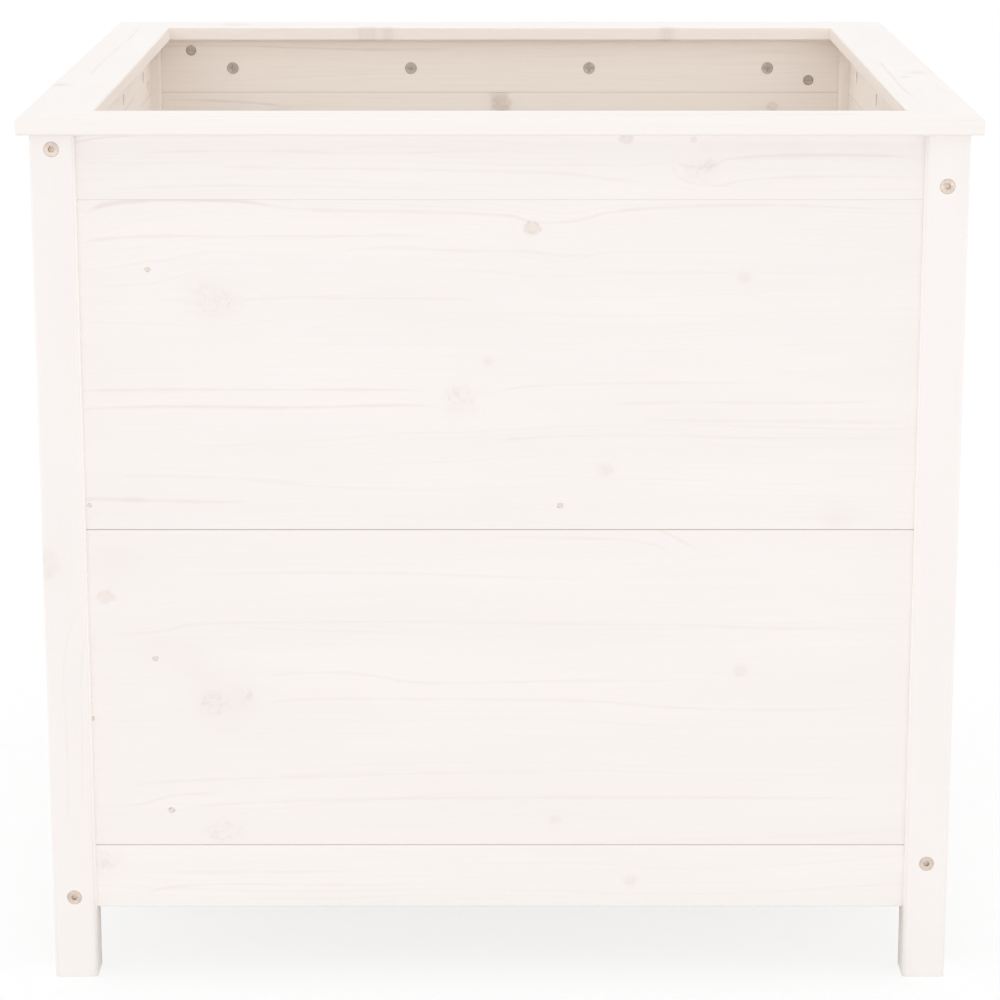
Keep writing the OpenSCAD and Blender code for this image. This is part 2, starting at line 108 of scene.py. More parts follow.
# What a knot shows: strength of its disc, its ring, its curls, its halo, and how far
# it pushes the growth rings aside, in radii
KnotKind = namedtuple("KnotKind", "disc ring curls halo push")
KNOT_KINDS = {
    "sound": KnotKind(0.62, 0.28, 0.15, 0.25, 1.2),
    "solid": KnotKind(0.40, 0.04, 0.20, 0.20, 1.2),
    "branch": KnotKind(0.50, 0.00, 0.00, 0.30, 0.8),
    "pin": KnotKind(1.00, 0.95, 0.00, 0.20, 1.4),
    "pale": KnotKind(0.16, 0.00, 0.20, 0.65, 1.0),
    "swirl": KnotKind(0.02, 0.00, 0.48, 0.45, 0.9),
    "cloud": KnotKind(0.00, 0.00, 0.00, 0.50, 0.3),
}

# Places in millimetres: along and across the grain
Knot = namedtuple("Knot", "along across radius kind")
# A single strong growth line through some points; pull is how far its bends reach sideways
Streak = namedtuple("Streak", "strength width pull points")

# Knots and lines in fixed places, most of them on the front wall, where along is x and across
# is z. On a post along is z
OWN_KNOTS = {
    "top_rail_front": [
        Knot(108, 761, 5.4, "solid"), Knot(166, 760, 2.6, "solid"), Knot(181, 739, 5, "pale"),
        Knot(172, 734, 12, "swirl"),
    ],
    "upper_panel_front": [
        Knot(28, 683, 6.2, "sound"), Knot(-305, 647, 2.2, "pin"), Knot(-250, 621, 17, "swirl"),
        Knot(212, 640, 6, "pale"), Knot(-10, 566, 4, "pale"), Knot(-34, 533, 13, "swirl"),
        Knot(92, 469, 6.5, "pale"), Knot(53, 437, 2.4, "pin"), Knot(298, 426, 13, "cloud"),
        Knot(-361, 437, 1.8, "pin"),
    ],
    "lower_panel_front": [
        Knot(-349, 354, 7, "solid"), Knot(-306, 297, 2.1, "pin"), Knot(-256, 257, 13, "swirl"),
        Knot(-228, 262, 10, "swirl"), Knot(-242, 252, 22, "cloud"), Knot(-263, 278, 13, "cloud"),
        Knot(-280, 298, 13, "cloud"), Knot(-308, 305, 13, "cloud"), Knot(214, 286, 6, "pale"),
        Knot(-295, 155, 2.4, "pin"), Knot(-248, 134, 13, "swirl"), Knot(49, 146, 5, "pale"),
        Knot(-364, 241, 2, "pin"), Knot(-340, 384, 16, "cloud"),
    ],
    "bottom_rail_front": [Knot(-354, 107, 10, "swirl"), Knot(118, 88, 5, "pale")],
    "post_front_left": [Knot(386, -400, 13, "pale")],
    "upper_panel_back": [
        Knot(-1, 704, 9.5, "branch"), Knot(1, 696, 10, "branch"), Knot(0, 686, 10.5, "branch"),
        Knot(294, 693, 5.5, "solid"),
    ],
    "rim_board_back": [
        Knot(-141, 353, 9, "pale"), Knot(-120, 353, 6, "pale"), Knot(178, 353, 7, "pale"),
    ],
    "rim_board_right": [Knot(-101, 380, 5, "pale")],
}
OWN_STREAKS = {
    "top_rail_front": [
        Streak(0.90, 1.2, 6, [(-365, 757), (-344, 761), (-312, 763)]),
        Streak(0.50, 1.0, 6, [(-305, 749), (-190, 750), (-110, 748), (-5, 750), (40, 749)]),
        Streak(0.45, 1.0, 6, [(-240, 736), (-80, 734), (46, 731), (116, 724), (158, 723)]),
        Streak(0.40, 0.9, 0, [(-334, 716), (-248, 720), (-130, 719), (-36, 718)]),
        Streak(0.85, 1.3, 10, [(152, 743), (176, 736), (195, 743), (244, 746), (364, 745)]),
        Streak(0.70, 1.0, 8, [
            (150, 734), (168, 722), (186, 720), (205, 724), (268, 728), (364, 727),
        ]),
        Streak(0.30, 6.0, 0, [(170, 752), (260, 753), (365, 752)]),
    ],
    "upper_panel_front": [
        Streak(0.90, 1.5, 0, [(-350, 700), (-335, 705), (-315, 707), (-255, 708), (-190, 703)]),
        Streak(0.72, 1.1, 34, [
            (-364, 682), (-357, 695), (-342, 702), (-298, 707), (-234, 707), (-175, 700),
            (-54, 697), (8, 694), (40, 688), (90, 696), (136, 701), (229, 703), (298, 701),
            (364, 695),
        ]),
        Streak(0.62, 1.1, 26, [(-365, 668), (-339, 674), (-307, 676), (-214, 676), (-58, 677)]),
        Streak(0.45, 1.2, 14, [
            (-133, 663), (-99, 666), (-41, 664), (24, 663), (58, 659), (90, 664),
        ]),
        Streak(0.40, 1.0, 18, [(-227, 616), (-200, 622), (-102, 622), (-16, 621)]),
        Streak(0.70, 1.1, 10, [(-365, 540), (-298, 541), (-214, 541), (-112, 541), (-48, 540)]),
        Streak(0.85, 1.1, 8, [(-365, 524), (-278, 526), (-187, 525), (-77, 527), (-48, 524)]),
        Streak(1.00, 1.7, 10, [(-365, 443), (-322, 442), (-290, 441), (-222, 440)]),
        Streak(0.35, 1.0, 12, [(-339, 464), (-229, 461), (-151, 454), (-31, 450)]),
        Streak(0.50, 1.0, 22, [(-1, 539), (28, 544), (80, 546), (126, 547), (220, 547)]),
        Streak(0.50, 1.0, 14, [(100, 528), (175, 530), (244, 529), (349, 531)]),
        Streak(0.45, 1.2, 8, [(126, 514), (209, 513), (360, 511)]),
        Streak(0.50, 1.0, 10, [(-1, 494), (50, 499), (146, 500), (209, 498), (361, 498)]),
    ],
    "lower_panel_front": [
        Streak(0.50, 1.1, 20, [(-1, 408), (85, 407), (117, 405), (153, 393)]),
        Streak(0.45, 1.1, 0, [(142, 414), (158, 406), (170, 399)]),
        Streak(0.45, 1.0, 26, [
            (-361, 320), (-327, 320), (-273, 328), (-219, 330), (8, 330), (139, 328), (254, 325),
            (361, 322),
        ]),
        Streak(0.35, 1.0, 14, [(-275, 374), (-141, 376), (8, 372), (80, 370)]),
        Streak(0.40, 1.1, 16, [(-208, 279), (-153, 284), (-58, 274), (60, 276), (160, 275)]),
        Streak(0.45, 1.0, 20, [
            (-214, 250), (-170, 259), (-65, 259), (62, 258), (163, 251), (256, 249), (342, 253),
        ]),
        Streak(0.45, 1.0, 22, [(-335, 179), (-254, 184), (-158, 187), (-60, 190), (60, 191)]),
        Streak(0.45, 1.0, 12, [(-361, 159), (-334, 159), (-290, 169), (-250, 171)]),
        Streak(0.50, 1.0, 10, [(-280, 158), (-219, 162), (-92, 166), (150, 167), (353, 166)]),
    ],
    "bottom_rail_front": [
        Streak(0.40, 1.0, 8, [(-317, 76), (-266, 84), (-178, 84), (-90, 83)]),
        Streak(0.35, 1.1, 6, [(-290, 96), (-214, 96), (-120, 97)]),
    ],
    "upper_panel_back": [
        Streak(0.60, 1.1, 8, [(-358, 700), (-290, 698), (-225, 692)]),
        Streak(0.60, 1.1, 8, [(-358, 682), (-290, 685), (-225, 691)]),
    ],
    "post_front_left": [
        Streak(0.40, 0.8, 6, [(155, -387), (226, -386), (288, -387), (329, -379), (347, -368)]),
        Streak(0.40, 0.8, 4, [(166, -374), (236, -372), (290, -371), (330, -364)]),
    ],
}


# ---------------------------------------------------------------- shader sheets

class Sheet:
    """Adds nodes to one node tree. An input is a number, a tuple or another node's socket."""

    def __init__(self, tree):
        self.tree = tree

    def feed(self, socket, value):
        if isinstance(value, bpy.types.NodeSocket):
            self.tree.links.new(value, socket)
        else:
            socket.default_value = value

    def node(self, kind, inputs, **settings):
        made = self.tree.nodes.new(kind)
        for name, value in settings.items():
            setattr(made, name, value)
        for name, value in inputs.items():
            self.feed(made.inputs[name], value)
        return made

    def math(self, operation, *values, clamp=False):
        inputs = dict(enumerate(values))
        return self.node("ShaderNodeMath", inputs, operation=operation, use_clamp=clamp).outputs[0]

    def vector(self, operation, *values):
        inputs = dict(enumerate(values))
        return self.node("ShaderNodeVectorMath", inputs, operation=operation).outputs[0]

    def split(self, vector):
        return self.node("ShaderNodeSeparateXYZ", {"Vector": vector}).outputs

    def join(self, x, y, z):
        return self.node("ShaderNodeCombineXYZ", {"X": x, "Y": y, "Z": z}).outputs[0]

    def ramp(self, value, low, high, to_low=0.0, to_high=1.0, shape="LINEAR"):
        """Ramp of value from low to high, held at both ends."""
        inputs = {
            "Value": value, "From Min": low, "From Max": high, "To Min": to_low, "To Max": to_high,
        }
        return self.node("ShaderNodeMapRange", inputs, interpolation_type=shape).outputs[0]

    def step(self, value, low, high, to_low=0.0, to_high=1.0):
        """Smooth step of value from low to high."""
        return self.ramp(value, low, high, to_low, to_high, "SMOOTHSTEP")

    def bell(self, value, width):
        """1 where value is 0, and falling away over width to both sides."""
        share = self.math("DIVIDE", value, width)
        square = self.math("MULTIPLY", share, share)
        return self.math("EXPONENT", self.math("MULTIPLY", square, -1.0))

    def cloud(self, place, scale, detail, distortion=0.0):
        """Noise at a place: its outputs are a value from 0 to 1 and a colour."""
        inputs = {"Vector": place, "Scale": scale, "Detail": detail, "Distortion": distortion}
        return self.node("ShaderNodeTexNoise", inputs).outputs

    def noise(self, place, lengths, start, detail=1.0):
        """Noise from 0 to 1 whose patches are so long in x, y and z. start moves it."""
        shares = tuple(1 / length for length in lengths)
        return self.cloud(self.vector("MULTIPLY_ADD", place, shares, start), 1.0, detail)[0]

    def line_noise(self, value, length, start):
        """Noise from 0 to 1 along one value."""
        moved = self.math("ADD", self.math("DIVIDE", value, length), start)
        inputs = {"W": moved, "Scale": 1.0, "Detail": 1.0}
        return self.node("ShaderNodeTexNoise", inputs, noise_dimensions="1D").outputs[0]

    def mix(self, share, first, second):
        """The first colour, and by share the second."""
        made = self.node("ShaderNodeMix", {0: share, 6: first, 7: second}, data_type="RGBA")
        return made.outputs[2]

    def mix_surfaces(self, share, first, second):
        """The first shader, and by share the second."""
        return self.node("ShaderNodeMixShader", {0: share, 1: first, 2: second}).outputs[0]

    def total(self, values, clamp=False):
        """The sum of values, held between 0 and 1 if clamp is set."""
        if not values:
            return 0.0
        result = values[0]
        for value in values[1:]:
            result = self.math("ADD", result, value)
        return self.math("ADD", result, 0.0, clamp=True) if clamp else result

    def curve(self, value, points):
        """A smooth curve through points whose x and y run from 0 to 1."""
        made = self.node("ShaderNodeFloatCurve", {"Value": value})
        line = made.mapping.curves[0]
        for _ in points[2:]:
            line.points.new(0.5, 0.5)
        for point, (x, y) in zip(line.points, points):
            point.location = (x, y)
            point.handle_type = "AUTO"
        made.mapping.update()
        return made.outputs[0]


def new_group(name, inputs, outputs):
    """A shader group with these inputs and outputs, given as {label: socket type}."""
    tree = bpy.data.node_groups.new(name, "ShaderNodeTree")
    for label, kind in inputs.items():
        tree.interface.new_socket(label, in_out="INPUT", socket_type=kind)
    for label in outputs:
        tree.interface.new_socket(label, in_out="OUTPUT", socket_type="NodeSocketFloat")
    sheet = Sheet(tree)
    return sheet, tree.nodes.new("NodeGroupInput").outputs, tree.nodes.new("NodeGroupOutput").inputs


VECTOR = "NodeSocketVector"
NUMBER = "NodeSocketFloat"

# Growth rings: mean width, and how far three sizes of wobble move them, all in millimetres
RING_WIDTH = 4.8
WOBBLES = [((620, 100, 100), 62), ((170, 26, 30), 7.5), ((46, 8, 9), 1.3)]
# Rings stand close and wide by turns: over how many millimetres, and how many rings that shifts
BUNCH_LENGTH = 40.0
BUNCH_REACH = 4.5
# From where to where in a ring its late wood darkens, and then ends
LATE_RISE = (0.42, 0.92)
LATE_END = (0.93, 1.0)
# The faintest ring as a share of the darkest, and the faintest stretch of a ring
FAINTEST_RING = 0.2
FAINTEST_STRETCH = 0.12
# Sizes in millimetres along, across and through the board. For the stretches of a ring, across
# counts so many millimetres from one ring to the next
RINGS_APART = 40.0
STRETCH_SIZE = (150, 55, 1)
FINE_FIBRE = (48, 0.9, 0.9)
COARSE_FIBRE = (150, 3.0, 3.0)
TONE_PATCH = (300, 48, 48)


def growth_rings():
    """Pine's growth rings in a board: late wood, fibre and a slow change of tone, from 0 to 1."""
    sheet, given, result = new_group(
        "growth_rings", {"Place": VECTOR, "Start": VECTOR, "Shift": NUMBER, "Tilt": NUMBER},
        ["Late", "Fibre", "Tone"],
    )
    place, start = given["Place"], given["Start"]
    along, across, depth = sheet.split(place)
    shifted = sheet.math("ADD", across, given["Shift"])
    height = sheet.math("MULTIPLY_ADD", depth, given["Tilt"], shifted)
    for lengths, reach in WOBBLES:
        wobble = sheet.math("SUBTRACT", sheet.noise(place, lengths, start), 0.5)
        height = sheet.math("MULTIPLY_ADD", wobble, reach, height)
    start_x = sheet.split(start)[0]
    bunching = sheet.math("SUBTRACT", sheet.line_noise(height, BUNCH_LENGTH, start_x), 0.5)
    even_ring = sheet.math("DIVIDE", height, RING_WIDTH)
    ring = sheet.math("MULTIPLY_ADD", bunching, BUNCH_REACH, even_ring)
    phase = sheet.math("FRACT", ring)
    rise = sheet.step(phase, *LATE_RISE)
    fall = sheet.step(phase, *LATE_END, 1.0, 0.0)
    pulse = sheet.math("MULTIPLY", sheet.math("MULTIPLY", rise, rise), fall)
    number = sheet.math("ADD", sheet.math("FLOOR", ring), start_x)
    lot = sheet.node("ShaderNodeTexWhiteNoise", {"W": number}, noise_dimensions="1D").outputs[0]
    square = sheet.math("MULTIPLY", lot, lot)
    weight = sheet.math("MULTIPLY_ADD", square, 1 - FAINTEST_RING, FAINTEST_RING)
    along_ring = sheet.join(along, sheet.math("MULTIPLY", ring, RINGS_APART), 0.0)
    stretch = sheet.noise(along_ring, STRETCH_SIZE, start)
    fading = sheet.ramp(stretch, 0.34, 0.66, FAINTEST_STRETCH, 1.0)
    weight = sheet.math("MULTIPLY", weight, fading)
    sheet.feed(result["Late"], sheet.math("MULTIPLY", pulse, weight))
    fine = sheet.ramp(sheet.noise(place, FINE_FIBRE, start, detail=2.0), 0.35, 0.75)
    coarse = sheet.ramp(sheet.noise(place, COARSE_FIBRE, start), 0.35, 0.75)
    sheet.feed(result["Fibre"], sheet.math("MULTIPLY", fine, coarse))
    tone = sheet.noise(place, TONE_PATCH, start, detail=2.0)
    sheet.feed(result["Tone"], sheet.ramp(tone, 0.36, 0.66))
    return sheet.tree


# A knot, with lengths in its radii: how rough its outline is along and across the grain, how many
# times longer than wide it is, and from where to where its disc and its curls fade out
KNOT_ROUGHNESS = (0.9, 0.7, 0)
KNOT_STRETCH = 1.18
DISC_EDGE = (0.72, 1.08)
CURLS_EDGE = (0.5, 1.2)
# How far out its ring lies, half the widths of ring and halo, and half the length along the grain
# of the eye that the growth rings leave round it
KNOT_RING_AT = 0.9
KNOT_RING_WIDTH = 0.17
HALO_WIDTH = 1.1
EYE_LENGTH = 2.6
# Half the width of a curl's line, in the values of the noise that it follows
CURL_WIDTH = 0.045


def knot_marks():
    """One knot: how far it shifts the rings, and its disc, ring, curls and halo, from 0 to 1."""
    sheet, given, result = new_group(
        "knot", {"Place": VECTOR, "Centre": VECTOR, "Radius": NUMBER, "Push": NUMBER},
        ["Shift", "Disc", "Ring", "Curls", "Halo"],
    )
    offset = sheet.vector("SUBTRACT", given["Place"], given["Centre"])
    flat = sheet.vector("MULTIPLY", offset, (1, 1, 0))
    scaled = sheet.node("ShaderNodeVectorMath", {
        0: flat, "Scale": sheet.math("DIVIDE", 1.0, given["Radius"]),
    }, operation="SCALE").outputs[0]
    seeded = sheet.vector("ADD", scaled, given["Centre"])
    out = knot_distance(sheet, scaled, seeded)
    patches = sheet.cloud(seeded, 1.3, 3.0)[0]
    broken = sheet.ramp(patches, 0.42, 0.58)
    disc = sheet.step(out, *DISC_EDGE, 1.0, 0.0)
    patchy = sheet.ramp(patches, 0.35, 0.6, 0.6, 1.0)
    ring = sheet.bell(sheet.math("SUBTRACT", out, KNOT_RING_AT), KNOT_RING_WIDTH)
    near = sheet.step(out, *CURLS_EDGE, 1.0, 0.0)
    sheet.feed(result["Disc"], sheet.math("MULTIPLY", disc, patchy))
    sheet.feed(result["Ring"], sheet.math("MULTIPLY", ring, broken))
    sheet.feed(result["Curls"], sheet.math("MULTIPLY", knot_curls(sheet, seeded, broken), near))
    sheet.feed(result["Halo"], sheet.bell(out, HALO_WIDTH))
    shift = ring_shift(sheet, scaled, given["Push"])
    sheet.feed(result["Shift"], sheet.math("MULTIPLY", shift, given["Radius"]))
    return sheet.tree


def knot_distance(sheet, scaled, seeded):
    """Distance from the knot's centre in radii, with a rough outline."""
    rough = sheet.vector("SUBTRACT", sheet.cloud(seeded, 0.9, 2.0)[1], (0.5, 0.5, 0.5))
    rough = sheet.vector("MULTIPLY", rough, KNOT_ROUGHNESS)
    along, across, _ = sheet.split(sheet.vector("ADD", scaled, rough))
    along = sheet.math("DIVIDE", along, KNOT_STRETCH)
    square = sheet.math("MULTIPLY_ADD", along, along, sheet.math("MULTIPLY", across, across))
    return sheet.math("SQRT", square)


def knot_curls(sheet, seeded, broken):
    """Fine broken lines and small dots, from 0 to 1."""
    veins = sheet.cloud(seeded, 1.15, 1.5, distortion=0.8)[0]
    curls = sheet.bell(sheet.math("SUBTRACT", veins, 0.5), CURL_WIDTH)
    dots = sheet.step(sheet.cloud(seeded, 2.4, 2.0)[0], 0.60, 0.70)
    return sheet.math("MAXIMUM", sheet.math("MULTIPLY", curls, broken), dots)


def ring_shift(sheet, scaled, push):
    """How many radii the growth rings move so that they pass the knot on both sides."""
    along, across, _ = sheet.split(scaled)
    eye = sheet.math("MULTIPLY", sheet.bell(along, EYE_LENGTH), push)
    across_square = sheet.math("MULTIPLY", across, across)
    passed = sheet.math("SUBTRACT", across_square, sheet.math("MULTIPLY", eye, eye))
    passed = sheet.math("SQRT", sheet.math("MAXIMUM", passed, 0.0001))
    moved = sheet.math("SUBTRACT", passed, sheet.math("ABSOLUTE", across))
    return sheet.math("MULTIPLY", moved, sheet.math("SIGN", across))


GROWTH_RINGS = growth_rings()
KNOT_MARKS = knot_marks()


# How far a streak reaches past its ends and the length of its stronger and weaker stretches, in
# millimetres, and the share of its length over which it fades at its end
STREAK_REACH = 6
DASH_LENGTH = 38
STREAK_FADE = 0.18
# Its fading at the start as a share of that at the end
START_FADE = 0.3


def streak_marks(sheet, along, across, streak):
    """One strong growth line: its darkness from 0 to 1, and how far it shifts the rings."""
    first, last = streak.points[0][0], streak.points[-1][0]
    levels = [point[1] for point in streak.points]
    margin = 2.0 + 0.25 * (max(levels) - min(levels))
    low, high = min(levels) - margin, max(levels) + margin
    share = sheet.ramp(along, first, last)
    points = [((x - first) / (last - first), (y - low) / (high - low)) for x, y in streak.points]
    level = sheet.math("MULTIPLY_ADD", sheet.curve(share, points), high - low, low)
    off = sheet.math("SUBTRACT", across, level)
    fade = STREAK_FADE * (last - first)
    begun = sheet.step(along, first - STREAK_REACH, first + START_FADE * fade)
    ended = sheet.step(along, last - fade, last + STREAK_REACH, 1.0, 0.0)
    inside = sheet.math("MULTIPLY", begun, ended)
    start = (first * 0.37, levels[0] * 0.11, streak.width)
    dashes = sheet.noise(sheet.join(along, 0.0, 0.0), (DASH_LENGTH, 1, 1), start)
    width = sheet.ramp(dashes, 0.35, 0.65, 0.75 * streak.width, 1.35 * streak.width)
    line = sheet.bell(off, width)
    weight = sheet.ramp(dashes, 0.34, 0.62, 0.55 * streak.strength, streak.strength)
    dark = sheet.math("MULTIPLY", sheet.math("MULTIPLY", line, weight), inside)
    if not streak.pull:
        return dark, 0.0
    middle = sum(levels) / len(levels)
    bend = sheet.math("SUBTRACT", middle, level)
    shift = sheet.math("MULTIPLY", bend, sheet.bell(off, streak.pull))
    return dark, sheet.math("MULTIPLY", shift, inside)


def board_place(sheet, axes):
    """Millimetres along the grain, across the board's face and through its thickness."""
    object_place = sheet.node("ShaderNodeTexCoord", {}).outputs["Object"]
    parts = dict(zip("xyz", sheet.split(sheet.vector("MULTIPLY", object_place, (PER_MM,) * 3))))
    return sheet.join(*(parts[axis] for axis in axes))


def empty_sheet(owner):
    """A sheet for the emptied nodes of a material or a world."""
    owner.use_nodes = True
    owner.node_tree.nodes.clear()
    return Sheet(owner.node_tree)


def new_material(name):
    """A material with a bare surface shader."""
    material = bpy.data.materials.new(name)
    sheet = empty_sheet(material)
    shader = sheet.node("ShaderNodeBsdfPrincipled", {})
    sheet.node("ShaderNodeOutputMaterial", {"Surface": shader.outputs[0]})
    return material, sheet, shader


def board_marks(sheet, place, knots, streaks, joints):
    """How far knots and streaks shift the rings, and lists of what marks a board, by its colour."""
    along, across, _ = sheet.split(place)
    shifts = []
    marks = {"streak": [], "halo": [], "knot": [], "dark": [], "crack": []}
    for knot in knots:
        kind = KNOT_KINDS[knot.kind]
        out = sheet.node("ShaderNodeGroup", {
            "Place": place, "Centre": (knot.along, knot.across, 0), "Radius": knot.radius,
            "Push": kind.push,
        }, node_tree=KNOT_MARKS).outputs
        shifts.append(out["Shift"])
        marks["halo"].append(sheet.math("MULTIPLY", out["Halo"], kind.halo))
        marks["knot"].append(sheet.math("MULTIPLY", out["Disc"], kind.disc))
        marks["knot"].append(sheet.math("MULTIPLY", out["Curls"], kind.curls))
        marks["dark"].append(sheet.math("MULTIPLY", out["Ring"], kind.ring))
    for streak in streaks:
        dark, shift = streak_marks(sheet, along, across, streak)
        marks["streak"].append(dark)
        if streak.pull:
            shifts.append(shift)
    for joint in joints:
        line = sheet.bell(sheet.math("SUBTRACT", across, joint.height), joint.width)
        marks["crack"].append(sheet.math("MULTIPLY", line, joint.dark))
    return sheet.total(shifts), marks


def add_shades(sheet, place, shades, colour):
    """The colour, turned into that of each shade where it lies."""
    _, across, depth = sheet.split(place)
    reach = {"depth": sheet.math("ABSOLUTE", depth), "across": sheet.math("ABSOLUTE", across)}
    reach["corner"] = sheet.math("ADD", reach["depth"], reach["across"])
    for shade in shades:
        share = sheet.step(reach[shade.measure], shade.start, shade.end)
        colour = sheet.mix(share, colour, shade.colour)
    return colour


def pine(name, finish, axes, knots, streaks, joints, shades):
    """Pine board: growth rings that flow round the knots and along the streaks, under a wash.

    joints are where it meets the next boards, and shades are where its colour turns."""
    material, sheet, shader = new_material(name)
    rng = random.Random(name)
    start = tuple(round(rng.uniform(0, 90), 2) for _ in range(3))
    tilt = rng.uniform(0.25, 0.7)
    place = board_place(sheet, axes)
    shift, marks = board_marks(sheet, place, knots, streaks, joints)
    rings = sheet.node("ShaderNodeGroup", {
        "Place": place, "Start": start, "Shift": shift, "Tilt": tilt,
    }, node_tree=GROWTH_RINGS)
    late, fibre, tone = (rings.outputs[label] for label in ("Late", "Fibre", "Tone"))
    colour = sheet.mix(tone, finish.ground, finish.patch)
    colour = add_shades(sheet, place, shades, colour)
    colour = sheet.mix(sheet.math("MULTIPLY", fibre, finish.fibre_share), colour, finish.fibre)
    colour = sheet.mix(sheet.math("MULTIPLY", late, finish.late_share), colour, finish.late)
    for label, values in marks.items():
        if values:
            colour = sheet.mix(sheet.total(values, clamp=True), colour, getattr(finish, label))
    sheet.feed(shader.inputs["Base Color"], colour)
    sheet.feed(shader.inputs["Roughness"], sheet.ramp(fibre, 0.0, 1.0, 0.62, 0.52))
    relief = sheet.math("MULTIPLY_ADD", fibre, 0.5, sheet.math("MULTIPLY", late, -0.6))
    roughen(sheet, shader, relief, 0.35, 0.15 * MM)
    return material


def roughen(sheet, shader, height, strength, distance):
    """Gives a shader a fine relief."""
    bump = sheet.node("ShaderNodeBump", {
        "Height": height, "Strength": strength, "Distance": distance,
    })
    sheet.feed(shader.inputs["Normal"], bump.outputs[0])


def beech(name):
    """Plain fine-grained beech of the dowels."""
    material, sheet, shader = new_material(name)
    place = board_place(sheet, "xyz")
    flecks = sheet.noise(place, (2.2, 0.8, 0.8), (3, 5, 7), detail=3.0)
    colour = sheet.mix(sheet.ramp(flecks, 0.3, 0.7), srgb(222, 188, 152), srgb(198, 158, 122))
    sheet.feed(shader.inputs["Base Color"], colour)
    sheet.feed(shader.inputs["Roughness"], sheet.ramp(flecks, 0.3, 0.7, 0.5, 0.65))
    return material


def plated_metal(name, bright, dull, smooth, coarse, patch):
    """Plated steel with cloudy dull patches, patch millimetres across."""
    material, sheet, shader = new_material(name)
    place = board_place(sheet, "xyz")
    cloud = sheet.noise(place, (patch,) * 3, (11, 4, 6), detail=3.0)
    grit = sheet.noise(place, (0.35,) * 3, (2, 8, 1), detail=2.0)
    sheet.feed(shader.inputs["Base Color"], sheet.mix(sheet.ramp(cloud, 0.35, 0.65), bright, dull))
    sheet.feed(shader.inputs["Roughness"], sheet.ramp(cloud, 0.3, 0.7, smooth, coarse))
    shader.inputs["Metallic"].default_value = 1.0
    roughen(sheet, shader, grit, 0.2, 0.03 * MM)
    return material


# ---------------------------------------------------------------- boards

# Joints between a wall's boards: height and half the width of the dark line, in millimetres,
# and how dark it is from 0 to 1. The front's uppermost joint is the faintest
Joint = namedtuple("Joint", "height width dark")
WALL_JOINTS = [Joint(122, 0.20, 1.0), Joint(415, 0.23, 1.0), Joint(708, 0.3, 0.5)]
FRONT_JOINTS = WALL_JOINTS[:2] + [Joint(708, 0.5, 0.1)]
# How far round its inner corner a post has the colour of the inside, the painted bounce light,
# and how far that fades
POST_INSIDE = 14
POST_FADE = 8
# Width of the band along the rim's edges over which its colour turns, in millimetres
RIM_BAND = 1.5
# How deep in from a post's face towards the walls its painted light reaches, in millimetres
POST_SKIN = 0.4
# The height of the rim's underside, and how far below it the painted light offsetting the rim's
# shade reaches
RIM_BOTTOM = 766
RIM_FADE = 11
# Square metres of board for each random knot and each random streak
KNOT_AREA = 0.036
STREAK_AREA = 0.045
# Boards with at most so many random knots
MOST_RANDOM_KNOTS = {"upper_panel_back": 2, "top_rail_back": 0}
# Kinds of random knots, with their smallest and largest radius in millimetres
RANDOM_KNOTS = [
    ("sound", 4.0, 7.5), ("solid", 5.0, 8.0), ("pin", 2.0, 3.0), ("pale", 6.0, 10.0),
    ("swirl", 10.0, 16.0),
]
# How far random knots stay from a board's ends, and knots and streaks from its long edges, in
# millimetres, and a random streak's width and bends
END_MARGIN = 20
EDGE_MARGIN = 4
STREAK_WIDTH = 1.1
STREAK_STEPS = 4


def grain_axes(name):
    """A board's axes: along its length, across its face and through its thickness."""
    low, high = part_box(name)
    size = {axis: round((high - low)["xyz".index(axis)], 4) for axis in "xyz"}
    return "".join(sorted("xyz", key=lambda axis: -size[axis]))


def face_range(name, axes):
    """Lowest and highest place along and across the board's face, in millimetres."""
    low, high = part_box(name)
    return [(low["xyz".index(axis)] / MM, high["xyz".index(axis)] / MM) for axis in axes[:2]]


def near_and_far(name, axis):
    """A node's least and greatest distance from the origin along an axis, in millimetres."""
    low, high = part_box(name)
    index = "xyz".index(axis)
    return sorted((abs(low[index]) / MM, abs(high[index]) / MM))


# Where a board's colour turns into another one, between two distances from the origin in
# millimetres: measured through its depth, across its face, or as their sum at a corner post.
# These turns paint light and shade: bounce light inside, light where shade falls, shade on an edge
Shade = namedtuple("Shade", "measure start end colour")


def board_shades(name, axes, finish):
    """The shades of a wall board, a post or a rim board: painted bounce light on inner faces,
    painted light where shade falls on the posts and under the rim, and painted shade on the rim's
    outer edge.
    """
    near_edge, far_edge = near_and_far(name, axes[1])
    near_face, far_face = near_and_far(name, axes[2])
    if name.startswith("post_"):
        # Painted bounce light round the post's inner corner
        corner = 2 * near_face + POST_INSIDE
        # Painted light on the post's faces towards the walls, offsetting their shade
        skin = (2 * POST_SKIN + near_face, near_face + POST_SKIN)
        return [Shade("across", *skin, POST_SIDE_PAINTED_LIGHT),
                Shade("depth", *skin, POST_SIDE_PAINTED_LIGHT),
                Shade("corner", corner + POST_FADE, corner, finish.inside)]
    if name.startswith("rim_board_"):
        # Painted bounce light on the rim's inner edge, painted shade on its outer edge
        return [Shade("across", near_edge + RIM_BAND, near_edge, finish.inside),
                Shade("across", far_edge - RIM_BAND, far_edge, RIM_EDGE_PAINTED_SHADE)]
    # Painted bounce light: the wall's inner face turns brighter and warmer
    shades = [Shade("depth", far_face, near_face, finish.inside)]
    # Painted light on the top rail just under the rim, offsetting its shade
    if name.startswith("top_rail_"):
        shades.insert(0, Shade("across", RIM_BOTTOM - RIM_FADE, RIM_BOTTOM, UNDER_RIM_PAINTED_LIGHT))
    return shades


